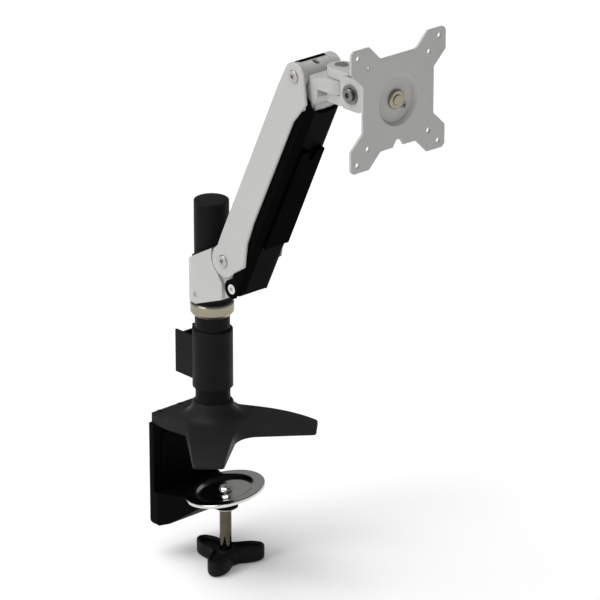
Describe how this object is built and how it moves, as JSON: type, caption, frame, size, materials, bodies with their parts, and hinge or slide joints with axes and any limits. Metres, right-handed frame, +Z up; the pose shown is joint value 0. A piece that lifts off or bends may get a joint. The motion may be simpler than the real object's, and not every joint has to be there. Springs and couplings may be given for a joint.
{
  "type": "monitor arm",
  "caption": "Desk monitor arm with a screw clamp, a pole, a gas spring parallelogram arm and a tilting, turning screen plate.",
  "frame": {"origin": "on the pole's axis at the level of the desk top, under the base's pads", "axes": "+Z up along the pole, -Y towards the screen side, +X to the right seen from behind the screen's viewer"},
  "size_m": [0.1588, 0.306, 0.5965],
  "materials": {
    "black_powder_coat": "fine satin powder coat",
    "black_moulded_plastic": "fine moulded grain",
    "silver_paint": "silver-white metallic paint, satin",
    "black_link_paint": "smooth black satin",
    "gloss_black_cover": "smooth black gloss",
    "nickel_plate": "satin nickel, warm",
    "bright_chrome": "bright chrome",
    "zinc_steel": "zinc plated",
    "white_pin": "light grey",
    "nylon": "natural nylon",
    "pad_rubber": "matt rubber",
    "black_cylinder_paint": "semi-gloss black"
  },
  "bodies": {
    "root": {"base_casting": "black_powder_coat", "base_pads": "pad_rubber", "clamp_bracket": "black_powder_coat", "bracket_screws": "black_powder_coat", "back_pad": "pad_rubber", "clamp_nut": "zinc_steel", "pole_tube": "black_powder_coat", "pole_plug": "zinc_steel", "pole_bolt": "zinc_steel", "pole_cap": "black_moulded_plastic"},
    "thrust_washer": {"disc_bush": "nylon"},
    "clamp_disc": {"clamp_disc": "bright_chrome"},
    "clamp_screw": {"clamp_screw": "bright_chrome", "disc_screw": "bright_chrome", "clamp_knob": "black_moulded_plastic", "knob_nut": "zinc_steel"},
    "cable_sleeve": {"cable_sleeve": "black_moulded_plastic", "cable_lid": "black_moulded_plastic"},
    "height_collar": {"height_collar": "nickel_plate", "collar_screw": "zinc_steel"},
    "shoulder": {"shoulder_bracket": "silver_paint", "swivel_bush": "black_moulded_plastic", "bush_screws": "zinc_steel", "beam_low_bolts": "zinc_steel", "link_low_pins": "white_pin", "spring_low_pin": "zinc_steel"},
    "beam": {"arm_beam": "silver_paint", "beam_bushes": "nylon", "beam_end_strip": "black_moulded_plastic", "spring_saddle": "zinc_steel", "spring_top_pin": "zinc_steel", "spring_cylinder": "black_cylinder_paint"},
    "spring_rod": {"spring_rod": "bright_chrome"},
    "lower_link": {"lower_link": "black_link_paint", "cable_cover": "gloss_black_cover"},
    "head": {"head_carrier": "silver_paint", "beam_top_bolts": "zinc_steel", "link_top_pins": "white_pin", "friction_screw": "zinc_steel", "swivel_liner": "nylon"},
    "swivel": {"swivel_bracket": "silver_paint", "swivel_pin": "zinc_steel", "tilt_yoke": "silver_paint", "yoke_screws": "zinc_steel", "tilt_washers": "zinc_steel", "tilt_bolt": "zinc_steel", "tilt_nut": "zinc_steel"},
    "tilt_block": {"tilt_block": "silver_paint"},
    "screen_plate": {"screen_plate": "silver_paint", "plate_spindle": "nickel_plate", "spindle_rear_nut": "zinc_steel", "spindle_front_nut": "nickel_plate", "stop_screw": "zinc_steel", "plate_washer": "nylon"}
  },
  "joints": [
    {"name": "disc_lift", "type": "slide", "parent": "root", "child": "thrust_washer", "axis": [0, 0, 1], "range_m": [0, 0.021]},
    {"name": "disc_tilt", "type": "hinge", "parent": "thrust_washer", "child": "clamp_disc", "pos_m": [0, -0.017, -0.0621], "axis": [0.6756, 0.7373, 0], "range_deg": [0, 20.8]},
    {"name": "knob_turn", "type": "hinge", "parent": "thrust_washer", "child": "clamp_screw", "pos_m": [0, -0.017, -0.1], "axis": [0, 0, 1], "range_deg": [0, 4320]},
    {"name": "sleeve_slide", "type": "slide", "parent": "root", "child": "cable_sleeve", "axis": [0, 0, 1], "range_m": [-0.013, 0.009]},
    {"name": "collar_height", "type": "slide", "parent": "root", "child": "height_collar", "axis": [0, 0, 1], "range_m": [-0.004, 0.036]},
    {"name": "shoulder_swivel", "type": "hinge", "parent": "height_collar", "child": "shoulder", "pos_m": [0, 0, 0.15], "axis": [0, 0, 1], "range_deg": [-170, 170]},
    {"name": "arm_lift", "type": "hinge", "parent": "shoulder", "child": "beam", "pos_m": [0, -0.0439, 0.193], "axis": [1, 0, 0], "range_deg": [0, 88]},
    {"name": "link_lift", "type": "hinge", "parent": "shoulder", "child": "lower_link", "pos_m": [0, -0.0523, 0.1662], "axis": [1, 0, 0], "range_deg": [0, 88]},
    {"name": "rod_slide", "type": "slide", "parent": "beam", "child": "spring_rod", "axis": [0, -0.4004, 0.9164], "range_m": [0, 0.01387]},
    {"name": "head_level", "type": "hinge", "parent": "beam", "child": "head", "pos_m": [0, -0.14268, 0.40159], "axis": [1, 0, 0], "range_deg": [-88, 0]},
    {"name": "head_pan", "type": "hinge", "parent": "head", "child": "swivel", "pos_m": [0, -0.18, 0.4], "axis": [0, 0, 1], "range_deg": [-50, 50]},
    {"name": "head_tilt", "type": "hinge", "parent": "swivel", "child": "tilt_block", "pos_m": [0, -0.2147, 0.402], "axis": [1, 0, 0], "range_deg": [-30, 45]},
    {"name": "plate_turn", "type": "hinge", "parent": "tilt_block", "child": "screen_plate", "pos_m": [0, -0.2147, 0.402], "axis": [0, 1, 0], "range_deg": [-90, 90]}
  ],
  "couplings": [
    {"joint": "knob_turn", "follows": "disc_lift", "rad_per_m": 3590.4},
    {"joint": "link_lift", "follows": "arm_lift", "ratio": 1},
    {"joint": "head_level", "follows": "arm_lift", "ratio": -1},
    {"joint": "rod_slide", "follows": "arm_lift", "m_per_rad": 0.009032}
  ]
}
